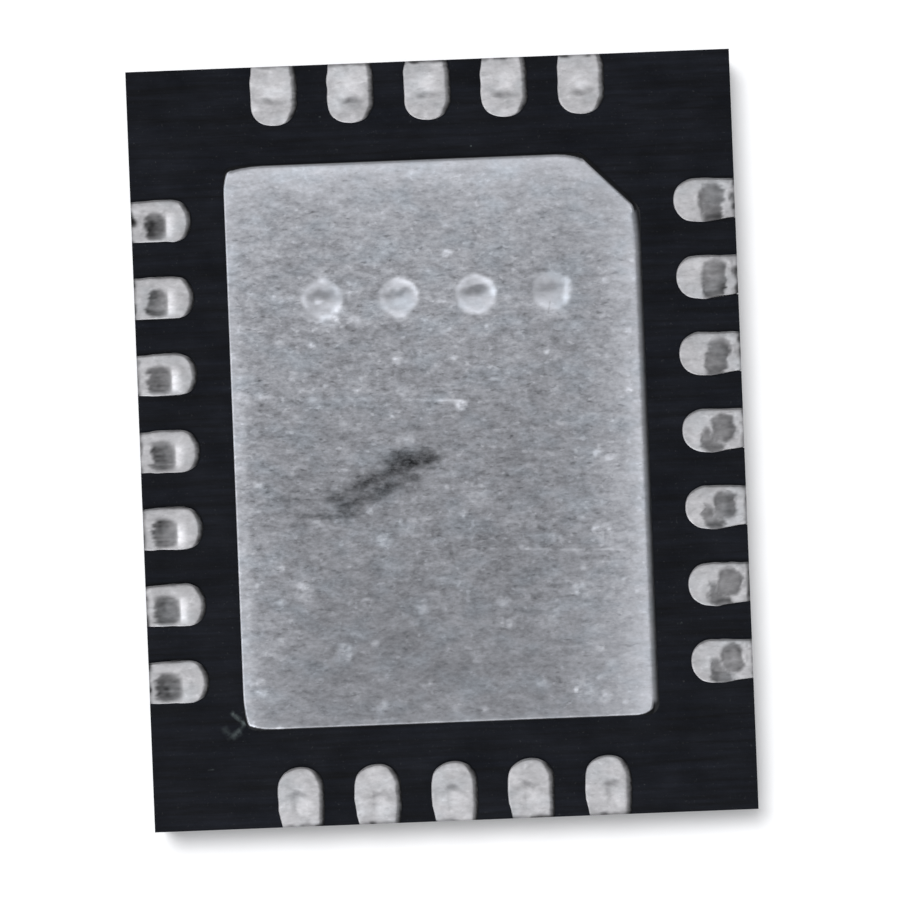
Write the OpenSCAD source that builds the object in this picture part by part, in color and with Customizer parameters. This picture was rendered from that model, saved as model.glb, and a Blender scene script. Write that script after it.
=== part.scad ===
// Quad flat no-lead chip package, lying on its marking face with its soldering side up.
// Lengths are in millimetres. The origin is the middle of the marking face.

/* [Package] */
// Width, across the two long rows of leads
body_w = 3.93; // [3.5:0.01:5]
// Length, across the two short rows of leads
body_l = 4.95; // [4.5:0.01:6]
// Overall thickness, from the marking face to the soldering plane
body_t = 0.75; // [0.65:0.01:1]
// Height by which the pad and the lands stand out of the mould
standoff = 0.03; // [0.015:0.005:0.05]
// Diameter of the index dot on the marking face
index_d = 0.4; // [0.2:0.05:0.6]
// Depth of the index dot
index_depth = 0.02; // [0.01:0.005:0.04]
// Distance from the index dot's centre to each package edge
index_inset = 0.6; // [0.4:0.05:1]

/* [Leads] */
// Distance from one lead to the next
pitch = 0.5; // [0.4:0.01:0.6]
// Number of leads on each long side
leads_long = 7; // [3:1:7]
// Number of leads on each short side
leads_short = 5; // [3:1:5]
// Width of a land
lead_w = 0.28; // [0.2:0.01:0.34]
// Width to which a lead narrows where the saw cuts it
lead_cut_w = 0.245; // [0.16:0.005:0.34]
// Length over which a lead narrows towards the saw cut
neck_l = 0.16; // [0.05:0.01:0.2]
// Length of a land, from the package edge to its rounded tip
lead_l = 0.385; // [0.3:0.005:0.5]
// Rounding of a land's upper edge
land_edge_r = 0.025; // [0.01:0.005:0.04]
// Thickness of the lead frame
frame_t = 0.2; // [0.15:0.01:0.25]
// Depth of the etch that undercuts the frame from the soldering side
etch_depth = 0.1; // [0.07:0.01:0.12]
// Reach of a lead's undercut lip past its land
lead_lip = 0.05; // [0.02:0.01:0.07]
// Distance from a lead's undercut lip to the package edge
lip_setback = 0.1; // [0.05:0.01:0.15]

/* [Pad] */
// Distance from the pad to the tips of the leads on the long sides
pad_gap_long = 0.233; // [0.2:0.001:0.35]
// Distance from the pad to the tips of the leads on the short sides
pad_gap_short = 0.253; // [0.2:0.001:0.35]
// Leg of the cut corner that marks the first lead
pad_chamfer = 0.37; // [0.2:0.01:0.5]
// Radius of the pad's other corners
pad_corner_r = 0.08; // [0.04:0.01:0.15]
// Rounding of the pad's upper edge
pad_edge_r = 0.03; // [0.01:0.005:0.05]
// Reach of the paddle's undercut rim past the pad
pad_lip = 0.06; // [0.03:0.01:0.08]
// Width of the tie bars that run to the package corners
tie_bar_w = 0.18; // [0.12:0.01:0.25]

/* [Contact dents] */
// Number of dents that test contacts left in the pad
dent_count = 4; // [1:1:4]
// Diameter of a dent
dent_d = 0.26; // [0.15:0.01:0.35]
// Depth of a dent at its middle
dent_depth = 0.012; // [0.005:0.001:0.02]
// Distance from one dent to the next
dent_pitch = 0.5; // [0.4:0.01:0.6]
// Distance from the row of dents to the pad's edge at the cut corner
dent_inset = 0.895; // [0.5:0.005:1.5]

/* [Die] */
// Distance from the die's sides to the pad's sides
die_margin = 0.35; // [0.2:0.01:0.6]
// Thickness of the die
die_t = 0.2; // [0.1:0.01:0.25]
// Thickness of the adhesive under the die
attach_t = 0.025; // [0.015:0.005:0.04]
// Width of the adhesive that shows round the die
attach_bleed = 0.06; // [0.02:0.01:0.1]

/* [Bond wires] */
// Diameter of a wire
wire_d = 0.025; // [0.018:0.001:0.04]
// Diameter of the ball at the die
ball_d = 0.06; // [0.045:0.005:0.08]
// Height of the ball
ball_h = 0.014; // [0.01:0.001:0.02]
// Height of a wire's loop over the die
loop_h = 0.12; // [0.09:0.01:0.16]
// Radius of the bend above the ball
bend_r = 0.06; // [0.03:0.005:0.08]
// Distance from the bond pads to the die's nearest side
bond_inset = 0.08; // [0.05:0.01:0.15]
// Distance from a row's end bond pads to the die's corners
bond_end = 0.3; // [0.15:0.01:0.4]
// Distance from a wire's stitch to the tip of its lead
stitch_inset = 0.13; // [0.08:0.01:0.2]

/* [Hidden] */
$fn = 48;
// Sides of a wire's section
wire_sides = 8;
// Straight steps along a wire's bend and along its long arc
bend_steps = 2;
arc_steps = 3;
// Share of a wire's span at which its long arc starts to turn towards the lead
arc_turn = 0.55;
// Overshoot of a cutting shape past the surface that it cuts
over = 0.1;

pad_w = body_w - 2 * (lead_l + pad_gap_long);
pad_l = body_l - 2 * (lead_l + pad_gap_short);
// Distance from the pad's middle to its cut corner, along the diagonal
chamfer_reach = (pad_w / 2 + pad_l / 2 - pad_chamfer) / sqrt(2);
die_w = pad_w - 2 * die_margin;
die_l = pad_l - 2 * die_margin;

// Heights above the marking face
solder_z = body_t;
mould_z = solder_z - standoff;
frame_z = solder_z - frame_t;
attach_z = frame_z - attach_t;
die_z = attach_z - die_t;
loop_z = die_z - loop_h;

// Two-digit label of a lead
function label(i) = str(i < 10 ? "0" : "", i);

// The four sides in the order in which their leads are counted: +X, -Y, -X, +Y.
// On each side the local +X axis points out of the package.
side_counts = [for (n = [leads_long, leads_short, leads_long, leads_short]) round(n)];
lead_count = 2 * (side_counts[0] + side_counts[1]);
side_starts = [0, side_counts[0], lead_count / 2, lead_count / 2 + side_counts[0]];
function side(i) = len([for (start = side_starts) if (i > start) start]) - 1;
function is_long(i) = side(i) % 2 == 0;
function side_edge(i) = (is_long(i) ? body_w : body_l) / 2;
// Place of a lead in its row, counted in pitches from the middle of the row
function row_place(i) = (side_counts[side(i)] - 1) / 2 - (i - side_starts[side(i)] - 1);

// Local points where the wire of lead i leaves the die and meets the lead
function bond_span(i) = (is_long(i) ? die_l : die_w) - 2 * bond_end;
function bond_pitch(i) = bond_span(i) / (side_counts[side(i)] - 1);
function bond_point(i) = [(is_long(i) ? die_w : die_l) / 2 - bond_inset, row_place(i) * bond_pitch(i)];
function stitch_point(i) = [side_edge(i) - lead_l - lead_lip + stitch_inset, row_place(i) * pitch];

// Upright section of a flat bar, with its two upper edges rounded
module rounded_section(w, h, r) {
    translate([-w / 2, 0]) square([w, h - r]);
    translate([r - w / 2, 0]) square([w - 2 * r, h]);
    for (x = [r - w / 2, w / 2 - r]) translate([x, h - r]) circle(r);
}

// Bar of that section along X, from x0 to x1
module rounded_bar(w, h, r, x0, x1) {
    translate([x0, 0, 0]) rotate([90, 0, 90]) linear_extrude(x1 - x0) rounded_section(w, h, r);
}

// Flat outline of a lead with a half-round tip, from x0 back to the tip's centre
module lead_outline(w, tip_x, x0) {
    translate([tip_x, 0]) circle(w / 2);
    translate([tip_x, -w / 2]) square([x0 - tip_x, w]);
}

// Wide bar whose upper edge runs from a lead's full width in to its width at the saw cut
module neck_side() {
    angle = atan2((lead_w - lead_cut_w) / 2, neck_l);
    translate([-neck_l, lead_w / 2, 0]) rotate([0, 0, -angle]) translate([0, -lead_w, 0])
        rounded_bar(2 * lead_w, frame_t, land_edge_r, -2 * lead_l, 2 * lead_l);
}

// One lead with its outer end at the local origin
module lead_form() {
    tip_x = lead_w / 2 - lead_l;
    translate([0, 0, frame_z]) {
        intersection() {
            rounded_bar(lead_w, frame_t, land_edge_r, tip_x, 0);
            neck_side();
            mirror([0, 1, 0]) neck_side();
        }
        translate([tip_x, 0, 0]) rotate([0, 0, 90]) rotate_extrude(angle = 180) intersection() {
            rounded_section(lead_w, frame_t, land_edge_r);
            square([lead_w, frame_t]);
        }
        linear_extrude(frame_t - etch_depth) lead_outline(lead_w + 2 * lead_lip, tip_x, -lip_setback);
    }
}

module lead(i) {
    color("silver") rotate([0, 0, -90 * side(i)]) translate([side_edge(i), row_place(i) * pitch, 0])
        lead_form();
}

// Flat outline of the pad, grown by g on every side
module pad_outline(g) {
    w = pad_w + 2 * g;
    l = pad_l + 2 * g;
    r = pad_corner_r;
    difference() {
        union() {
            square([w - 2 * r, l], center = true);
            square([w, l - 2 * r], center = true);
            for (x = [-1, 1], y = [-1, 1]) translate([x * (w / 2 - r), y * (l / 2 - r)]) circle(r);
        }
        rotate(45) translate([chamfer_reach + g, -pad_l]) square([pad_l, 2 * pad_l]);
    }
}

// The pad with its upper edges rounded
module pad_form() {
    intersection() {
        linear_extrude(frame_t) pad_outline(0);
        rounded_bar(pad_l, frame_t, pad_edge_r, -pad_w, pad_w);
        rotate([0, 0, 90]) rounded_bar(pad_w, frame_t, pad_edge_r, -pad_l, pad_l);
        rotate([0, 0, 45]) translate([chamfer_reach - pad_l, 0, 0])
            rotate([0, 0, 90]) rounded_bar(2 * pad_l, frame_t, pad_edge_r, -pad_l, pad_l);
    }
}

// Flat outline of the four tie bars, which end flush with the package sides
module tie_bars() {
    dx = (body_w - pad_w) / 2;
    dy = (body_l - pad_l) / 2;
    reach = 2 * (dx + dy);
    intersection() {
        square([body_w, body_l], center = true);
        for (x = [-1, 1], y = [-1, 1])
            translate([x * body_w / 2, y * body_l / 2]) rotate(atan2(y * dy, x * dx))
                square([reach, tie_bar_w], center = true);
    }
}

// Row of shallow round dents, as the caps of large spheres
module dents() {
    dent_r = (dent_d * dent_d / 4 + dent_depth * dent_depth) / (2 * dent_depth);
    first_x = -dent_pitch * (dent_count - 1) / 2;
    for (k = [0 : dent_count - 1])
        translate([first_x + k * dent_pitch, pad_l / 2 - dent_inset, solder_z - dent_depth + dent_r])
            sphere(dent_r);
}

module die_paddle() {
    color("lightgray") difference() {
        translate([0, 0, frame_z]) {
            pad_form();
            linear_extrude(frame_t - etch_depth) {
                pad_outline(pad_lip);
                tie_bars();
            }
        }
        dents();
    }
}

module die_attach() {
    color("gainsboro") translate([-die_w / 2 - attach_bleed, -die_l / 2 - attach_bleed, attach_z])
        cube([die_w + 2 * attach_bleed, die_l + 2 * attach_bleed, attach_t]);
}

module die() {
    color("slategray") translate([-die_w / 2, -die_l / 2, die_z]) cube([die_w, die_l, die_t]);
}

// Points of a wire's middle line in its own upright plane, from the top of the ball's neck to the stitch
function wire_path(span) = let (
    bend = [for (k = [0 : bend_steps]) let (a = 180 + 90 * k / bend_steps)
        [bend_r * (1 + cos(a)), loop_z + bend_r * (1 + sin(a))]],
    arc = [for (k = [1 : arc_steps]) let (t = k / arc_steps)
        [bend_r * (1 - t) ^ 2 + 2 * arc_turn * span * t * (1 - t) + span * t ^ 2,
         loop_z * (1 - t ^ 2) + frame_z * t ^ 2]]
) concat(bend, arc);

function unit(v) = v / norm(v);

// Direction across the wire at point k of its path, long enough to keep the section through a bend
function mitre(path, k) = let (
    before = k == 0 ? [0, -1] : unit(path[k] - path[k - 1]),
    after = k == len(path) - 1 ? before : unit(path[k + 1] - path[k]),
    middle = unit(before + after)
) k == len(path) - 1 ? [-1 / after[1], 0] : [-middle[1], middle[0]] / (middle * after);

// One ring of points round p, where across lies in the wire's own plane
function ring(p, across, r) = [for (k = [0 : wire_sides - 1]) let (a = 360 * (k + 0.5) / wire_sides)
    [p[0] + r * cos(a) * across[0], r * sin(a), p[1] + r * cos(a) * across[1]]];

// One wire along local +X, with its ball on the die at the local origin
module wire_form(span) {
    path = wire_path(span);
    rings = concat(
        [ring([0, die_z], [1, 0], ball_d / 2)],
        [ring([0, die_z - ball_h], [1, 0], ball_d / 2)],
        [ring([0, die_z - 2 * ball_h], [1, 0], wire_d / 2)],
        [for (k = [0 : len(path) - 1]) ring(path[k], mitre(path, k), wire_d / 2)]
    );
    points = [for (one = rings) each one];
    last = (len(rings) - 1) * wire_sides;
    sides = [for (k = [0 : len(rings) - 2], j = [0 : wire_sides - 1]) let (
        here = k * wire_sides + j,
        beside = k * wire_sides + (j + 1) % wire_sides
    ) [here, beside, beside + wire_sides, here + wire_sides]];
    start_cap = [for (j = [wire_sides - 1 : -1 : 0]) j];
    end_cap = [for (j = [0 : wire_sides - 1]) last + j];
    polyhedron(points, concat(sides, [start_cap, end_cap]));
}

module bond_wire(i) {
    from = bond_point(i);
    run = stitch_point(i) - from;
    color("gold") rotate([0, 0, -90 * side(i)]) translate([from[0], from[1], 0])
        rotate([0, 0, atan2(run[1], run[0])]) wire_form(norm(run));
}

// The index dot, on the marking face under the first lead's corner
module index_dot() {
    translate([body_w / 2 - index_inset, body_l / 2 - index_inset, -over])
        cylinder(d = index_d, h = index_depth + over);
}

// The mould fills all the room that the metal and the die leave
module mould_body() {
    color("#1e2024") difference() {
        translate([-body_w / 2, -body_l / 2, 0]) cube([body_w, body_l, mould_z]);
        index_dot();
        die_paddle();
        die_attach();
        die();
        for (i = [1 : lead_count]) {
            lead(i);
            bond_wire(i);
        }
    }
}

mould_body();
die_paddle();
die_attach();
die();
for (i = [1 : lead_count]) {
    lead(i);
    bond_wire(i);
}
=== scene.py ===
"""Looks of a quad flat no-lead chip package, seen from its soldering side.

Lengths in this script are in millimetres, and each mesh is scaled to metres as it is made.
"""

import math

import bmesh
import bpy
import numpy as np
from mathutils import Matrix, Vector


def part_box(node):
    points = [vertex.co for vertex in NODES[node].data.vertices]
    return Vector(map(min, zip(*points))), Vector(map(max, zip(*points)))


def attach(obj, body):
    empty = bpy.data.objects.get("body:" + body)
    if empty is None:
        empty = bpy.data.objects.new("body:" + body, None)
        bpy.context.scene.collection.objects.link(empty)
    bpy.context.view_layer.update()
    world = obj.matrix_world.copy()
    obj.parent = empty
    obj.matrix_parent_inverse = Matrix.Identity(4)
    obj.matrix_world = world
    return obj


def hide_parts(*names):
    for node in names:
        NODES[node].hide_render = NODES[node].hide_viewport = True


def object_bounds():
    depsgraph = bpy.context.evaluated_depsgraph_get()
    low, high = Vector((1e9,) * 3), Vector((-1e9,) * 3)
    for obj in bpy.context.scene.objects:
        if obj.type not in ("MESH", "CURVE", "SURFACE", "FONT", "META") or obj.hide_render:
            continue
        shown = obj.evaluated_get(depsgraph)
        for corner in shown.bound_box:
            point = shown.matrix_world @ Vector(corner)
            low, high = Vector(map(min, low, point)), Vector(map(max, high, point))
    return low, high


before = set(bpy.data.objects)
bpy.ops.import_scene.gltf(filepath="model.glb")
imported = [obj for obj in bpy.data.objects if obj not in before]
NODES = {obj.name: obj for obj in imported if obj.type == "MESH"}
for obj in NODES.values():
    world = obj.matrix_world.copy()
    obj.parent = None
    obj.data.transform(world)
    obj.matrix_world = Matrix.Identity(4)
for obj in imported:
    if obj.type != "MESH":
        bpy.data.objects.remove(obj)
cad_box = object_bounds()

MM = 0.001
TINY = 1e-9


# Sizes taken from the frame

def points_above(node, height):
    """Vertices of a CAD node above a height, in millimetres."""
    points = np.array([v.co for v in NODES[node].data.vertices]) / MM
    return points[points[:, 2] > height]


BODY_LOW = np.array(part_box("mould_body")[0]) / MM
BODY_HIGH = np.array(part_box("mould_body")[1]) / MM
MOULD_Z = BODY_HIGH[2]
SOLDER_Z = cad_box[1][2] / MM
FRAME_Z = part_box("lead_01")[0][2] / MM
# Height of the half-etched lips and tie bars above the frame's inner side
LIP_T = 0.1
LIP_Z = FRAME_Z + LIP_T
# A height that only the walls of the pad and of the lands reach
WALL_Z = MOULD_Z - 0.03
PAD_WALL = points_above("die_paddle", WALL_Z)
# The tin runs a little past the copper on the left
PAD_LOW = PAD_WALL.min(0) - np.array([0.008, 0, 0])
PAD_HIGH = PAD_WALL.max(0)
PAD_REACH = PAD_WALL[:, :2].sum(1).max()
# A thin film of mould covers the pad's ends and corners, so the bare plating stops before them
BARE_LOW = PAD_LOW + np.array([0, 0.006, 0])
BARE_HIGH = PAD_HIGH - np.array([0, 0.008, 0])
BARE_REACH = PAD_REACH - 0.035
BARE_CORNER_R = 0.03
# The film's tone, slope, least height over the mould, and width of its blend into the plating
FILM_TONE = 0.028
FILM_SLOPE = 0.7
FILM_T = 0.001
FILM_BLEND = 0.003
# Tone of the plating on walls and undercuts, and roughness and grain of the plated faces
SIDE_TONE = 0.45
PAD_ROUGH = 0.45
LAND_ROUGH = 0.42
LAND_GRAIN = 0.45
LEAD_NAMES = sorted(name for name in NODES if name.startswith("lead_"))
WIRE_NAMES = sorted(name for name in NODES if name.startswith("bond_wire_"))

# Driving sizes that the boxes don't give
PAD_CORNER_R = 0.08
PAD_LIP = 0.06
LEAD_LIP = 0.05
LIP_SETBACK = 0.1
TIE_BAR_W = 0.18
# Room under the soldering plane for the relief of the plating
RELIEF_ROOM = 0.003
PLATE_Z = SOLDER_Z - RELIEF_ROOM

# The plating's upper edges fall away gently on the right, less so at the top, and are crisp elsewhere.
# Each kind of edge has a width and a drop.
PAD_TOP_SHARE = 0.15
LAND_TOP_SHARE = 0.20
PAD_SOFT_EDGE = (0.055, 0.027)
LAND_SOFT_EDGE = (0.042, 0.024)
CRISP_EDGE = (0.008, 0.003)
# How far right or up an edge has to face to begin to fall away gently, and to do so fully
PAD_SOFT_FACING = (0.72, 0.88)
LAND_SOFT_FACING = (0.4, 0.98)
# Gentle edges get painted shade over a share of their width, darkest at the outline
EDGE_SHADE_REACH = 0.9
EDGE_SHADE_DEPTH = 0.93
EDGE_SHADE_GAIN = 1.4
# Crisp edges get a painted highlight along their rim at these distances, strongest on the pad's left, and
# painted shade along the lower edges of the lands
RIM_LIGHT_SPAN = (0.013, 0.002)
RIM_LIGHT_LOSS = 3
PAD_RIM_HIGHLIGHT = 0.15
PAD_LEFT_HIGHLIGHT = 0.55
LAND_RIM_HIGHLIGHT = 0.18
LAND_LOW_SHADE = -0.30


# Numbers and masks

def smooth(low, high, value):
    """Smooth step from 0 at low to 1 at high."""
    t = np.clip((value - low) / (high - low), 0.0, 1.0)
    return t * t * (3 - 2 * t)


def noise(x, y, cell_x, cell_y, seed):
    """Smooth random values from -1 to 1, with one random value in each cell."""
    size = 256
    lattice = np.random.default_rng(seed).uniform(-1, 1, (size, size))
    gx = x / cell_x + size / 2
    gy = y / cell_y + size / 2
    ix = np.floor(gx).astype(int)
    iy = np.floor(gy).astype(int)
    tx = smooth(0, 1, gx - ix)
    ty = smooth(0, 1, gy - iy)
    left, right = ix % size, (ix + 1) % size
    below, above = iy % size, (iy + 1) % size
    low = lattice[left, below] * (1 - tx) + lattice[right, below] * tx
    high = lattice[left, above] * (1 - tx) + lattice[right, above] * tx
    return low * (1 - ty) + high * ty


def spot(x, y, centre, size, turn=0.0, soft=0.3, power=2.0):
    """Mask of a soft-edged oval: 1 inside and 0 outside. turn is in degrees."""
    cos_t = math.cos(math.radians(turn))
    sin_t = math.sin(math.radians(turn))
    dx = x - centre[0]
    dy = y - centre[1]
    along = np.abs(cos_t * dx + sin_t * dy) / size[0]
    across = np.abs(cos_t * dy - sin_t * dx) / size[1]
    reach = (along ** power + across ** power) ** (1 / power)
    return smooth(1 + soft, 1 - soft, reach)


def softness(normal_x, normal_y, facing, top_share):
    """How gently an edge falls away: 1 to the right, less at the top and 0 elsewhere."""
    return smooth(*facing, normal_x) + top_share * smooth(*facing, normal_y)


def edge_drop(distance, share, soft_edge):
    """Drop of an upper edge at a distance from the outline, for a share of softness."""
    width, drop = [crisp + (soft - crisp) * share for crisp, soft in zip(CRISP_EDGE, soft_edge)]
    return drop * np.clip(1 - distance / width, 0, 1) ** 2


def edge_tone(distance, share, soft_edge, rim):
    """Tone of the plating near the outline: a painted highlight along the rim of crisp edges, painted shade
    there where the rim gain is below zero, and painted shade where edges fall away gently.
    """
    edge_shade = smooth(EDGE_SHADE_REACH, 0.0, distance / soft_edge[0]) * np.minimum(share * EDGE_SHADE_GAIN, 1)
    at_rim_light = smooth(*RIM_LIGHT_SPAN, distance) * (1 - np.minimum(share * RIM_LIGHT_LOSS, 1))
    return (1 - EDGE_SHADE_DEPTH * edge_shade) * (1 + rim * at_rim_light)


def linear(level):
    """Linear value of a display level from 0 to 255."""
    return ((level / 255 + 0.055) / 1.055) ** 2.4


# Meshes

# Points of a mesh closer together than this are one point
SAME_POINT = 0.00001
# Edges that bend more than this stay sharp
SHARP_ANGLE = math.radians(50)


def weld(mesh):
    """Join the points of a mesh that lie in one place."""
    joined = bmesh.new()
    joined.from_mesh(mesh)
    bmesh.ops.remove_doubles(joined, verts=joined.verts, dist=SAME_POINT * MM)
    joined.to_mesh(mesh)
    joined.free()


def add_object(name, data):
    """A new object in the scene."""
    item = bpy.data.objects.new(name, data)
    bpy.context.scene.collection.objects.link(item)
    return item


def make_piece(name, points, faces, materials, face_materials, attributes):
    """A mesh piece on the one body, from points in millimetres."""
    mesh = bpy.data.meshes.new(name)
    mesh.from_pydata((np.asarray(points) * MM).tolist(), [], faces)
    for material in materials:
        mesh.materials.append(material)
    mesh.polygons.foreach_set("material_index", face_materials)
    for key, values in attributes.items():
        layer = mesh.attributes.new(key, "FLOAT", "POINT")
        layer.data.foreach_set("value", np.asarray(values, np.float32))
    weld(mesh)
    mesh.validate()
    mesh.shade_smooth()
    mesh.set_sharp_from_angle(angle=SHARP_ANGLE)
    piece = add_object(name, mesh)
    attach(piece, "root")
    return piece


def at_height(points, z):
    """Points moved to a height."""
    return np.column_stack([points[:, :2], np.full(len(points), z)])


def grid_faces(rows, columns):
    """Quads of a grid of points stored row by row, turned up where rows run to the left of columns."""
    return [
        (r * columns + c, r * columns + c + 1, (r + 1) * columns + c + 1, (r + 1) * columns + c)
        for r in range(rows - 1)
        for c in range(columns - 1)
    ]


# Materials

class Surface:
    """A material with one principled shader, and short calls that add nodes to it."""

    def __init__(self, name):
        self.material = bpy.data.materials.new(name)
        self.material.use_nodes = True
        self.tree = self.material.node_tree
        self.shader = self.tree.nodes["Principled BSDF"]
        place = self.add("ShaderNodeTexCoord")
        self.coords = self.vector("SCALE", place.outputs["Object"], scale=1 / MM)

    def add(self, kind, inputs=None, **settings):
        node = self.tree.nodes.new(kind)
        for key, value in settings.items():
            setattr(node, key, value)
        for key, value in (inputs or {}).items():
            self.feed(node.inputs[key], value)
        return node

    def feed(self, socket, value):
        if isinstance(value, bpy.types.NodeSocket):
            self.tree.links.new(value, socket)
        else:
            socket.default_value = value

    def set(self, **values):
        for key, value in values.items():
            self.feed(self.shader.inputs[key.replace("_", " ")], value)

    def vector(self, operation, a, b=None, scale=None):
        given = {0: a, 1: b, "Scale": scale}
        inputs = {key: value for key, value in given.items() if value is not None}
        return self.add("ShaderNodeVectorMath", inputs, operation=operation).outputs[0]

    def math(self, operation, a, b=0.0, clamp=False):
        return self.add("ShaderNodeMath", {0: a, 1: b}, operation=operation, use_clamp=clamp).outputs[0]

    def dot(self, a, b):
        return self.add("ShaderNodeVectorMath", {0: a, 1: b}, operation="DOT_PRODUCT").outputs["Value"]

    def noise(self, stretch, detail=2.0, roughness=0.5):
        """Noise from about 0 to 1, with stretch cells in each millimetre along X, Y and Z."""
        place = self.vector("MULTIPLY", self.coords, stretch)
        settings = {"Vector": place, "Scale": 1.0, "Detail": detail, "Roughness": roughness}
        return self.add("ShaderNodeTexNoise", settings).outputs["Fac"]

    def plus(self, base, value, gain):
        """A base with a value added to it, times a gain."""
        return self.math("ADD", base, self.math("MULTIPLY", value, gain))

    def wave(self, value, amount, middle=0.5):
        """A factor that swings about 1 by amount as a noise value swings about its middle."""
        return self.plus(1.0, self.math("SUBTRACT", value, middle), amount)

    def attribute(self, name):
        return self.add("ShaderNodeAttribute", attribute_name=name).outputs["Fac"]

    def blend(self, factor, low, high):
        """A colour between low and high."""
        node = self.add("ShaderNodeMix", {"Factor": factor, "A": low, "B": high}, data_type="RGBA")
        return node.outputs["Result"]

    def scaled(self, colour, factor):
        """A colour made lighter or darker by a factor."""
        return self.vector("SCALE", colour, scale=factor)

    def over(self, value, limit, gain):
        """How far a value lies over a limit, times a gain, from 0 to 1."""
        return self.math("MULTIPLY", self.math("SUBTRACT", value, limit), gain, clamp=True)

    def stroke(self, start, end, half_width):
        """Mask of a thin straight stroke between two points of the XY plane."""
        run = Vector(end) - Vector(start)
        middle = (Vector(start) + Vector(end)) / 2
        place = self.vector("SUBTRACT", self.coords, (middle.x, middle.y, 0))
        direction = run.normalized()
        along = self.dot(place, (direction.x, direction.y, 0))
        aside = self.dot(place, (-direction.y, direction.x, 0))
        past = self.math("DIVIDE", self.math("ABSOLUTE", along), run.length / 2)
        off = self.math("DIVIDE", self.math("ABSOLUTE", aside), half_width)
        ends = self.math("MULTIPLY", self.math("SUBTRACT", 1.0, past), 3.0, clamp=True)
        return self.math("MULTIPLY", self.math("SUBTRACT", 1.0, off, clamp=True), ends)

    def bump(self, height, distance):
        """Relief of a distance in millimetres where the height goes from 0 to 1."""
        node = self.add("ShaderNodeBump", {"Height": height, "Distance": distance * MM, "Strength": 1.0})
        self.set(Normal=node.outputs["Normal"])


# Swings of the plating's tone with its fine grain, blotches, dark specks and pale specks
FINE_SWING = 1.10
BLOTCH_SWING = 0.92
DARK_SWING = 0.28
PALE_SWING = 0.34
# How far stains darken the plating, and how far the grain breaks them up
STAIN_DEPTH = 0.92
STAIN_BREAK = 1.1


def tin_material(name, warm, cool, scratches=()):
    """Matt tin plate. Tone, which carries painted highlights and shade, stains, grain and gloss come from
    the mesh, and the grain runs along X.
    """
    tin = Surface(name)
    fine = tin.noise((26, 42, 27), detail=4, roughness=0.6)
    blotch = tin.noise((9, 18, 9), detail=2)
    dark = tin.over(tin.math("SUBTRACT", 1.0, tin.noise((15, 36, 20), detail=3)), 0.60, 9.0)
    pale = tin.over(tin.noise((19, 27, 19), detail=3), 0.60, 8.0)
    swing = tin.math("MULTIPLY", tin.math("SUBTRACT", fine, 0.5), FINE_SWING)
    swing = tin.plus(swing, tin.math("SUBTRACT", blotch, 0.5), BLOTCH_SWING)
    swing = tin.plus(swing, dark, -DARK_SWING)
    swing = tin.plus(swing, pale, PALE_SWING)
    for start, end, half_width, gain in scratches:
        line = tin.math("MULTIPLY", tin.stroke(start, end, half_width), tin.over(blotch, 0.42, 5.0))
        swing = tin.plus(swing, line, gain)
    swing = tin.math("MULTIPLY", swing, tin.attribute("grain"))
    tone = tin.math("MULTIPLY", tin.attribute("tone"), tin.math("ADD", swing, 1.0))
    stain = tin.math("MULTIPLY", tin.attribute("stain"), tin.wave(fine, -STAIN_BREAK), clamp=True)
    tone = tin.math("MULTIPLY", tone, tin.wave(stain, -STAIN_DEPTH, middle=0.0))
    colour = tin.blend(tin.over(tin.noise((4, 6, 4), detail=2), 0.48, 5.0), warm, cool)
    tin.set(Base_Color=tin.scaled(colour, tone), Metallic=1.0)
    tin.set(Roughness=tin.plus(tin.attribute("rough"), swing, -0.15))
    tin.bump(tin.math("ADD", blotch, swing), 0.0010)
    return tin.material


def copper_material():
    """Copper as the saw left it, with upright blade marks and smeared plating near the soldering plane."""
    copper = Surface("sawn_copper")
    blade = copper.noise((70, 70, 4), detail=4, roughness=0.6)
    stain = copper.noise((14, 14, 22), detail=4)
    bare = copper.blend(stain, (0.37, 0.165, 0.085, 1), (0.56, 0.28, 0.165, 1))
    height = copper.add("ShaderNodeSeparateXYZ", {0: copper.coords}).outputs["Z"]
    near_top = copper.math("SUBTRACT", height, SOLDER_Z - 0.035)
    ragged_top = copper.plus(near_top, stain, 0.03)
    smear_and_shade = copper.math("MULTIPLY", ragged_top, 22.0, clamp=True)
    colour = copper.blend(smear_and_shade, bare, (0.52, 0.51, 0.50, 1))
    copper.set(Base_Color=copper.scaled(colour, copper.wave(blade, 1.1)), Metallic=1.0)
    copper.set(Roughness=copper.plus(0.28, blade, 0.25))
    copper.bump(blade, 0.003)
    return copper.material


# Faint residue on the mould: start and end of each stroke, half width and paleness
RESIDUE = (
    ((-1.445, -1.707), (-1.340, -1.803), 0.022, 0.80),
    ((-1.345, -1.775), (-1.415, -1.870), 0.022, 0.36),
    ((-1.375, -1.835), (-1.450, -1.880), 0.032, 0.42),
    ((-1.440, -1.890), (-1.500, -1.800), 0.034, 0.20),
    ((-0.720, 2.136), (-0.705, 2.136), 0.008, 1.00),
    ((0.257, 1.908), (0.271, 1.908), 0.008, 0.80),
    ((-1.610, -2.085), (-1.560, -2.080), 0.007, 0.35),
    ((1.480, -1.250), (1.520, -1.245), 0.010, 0.40),
)


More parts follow.
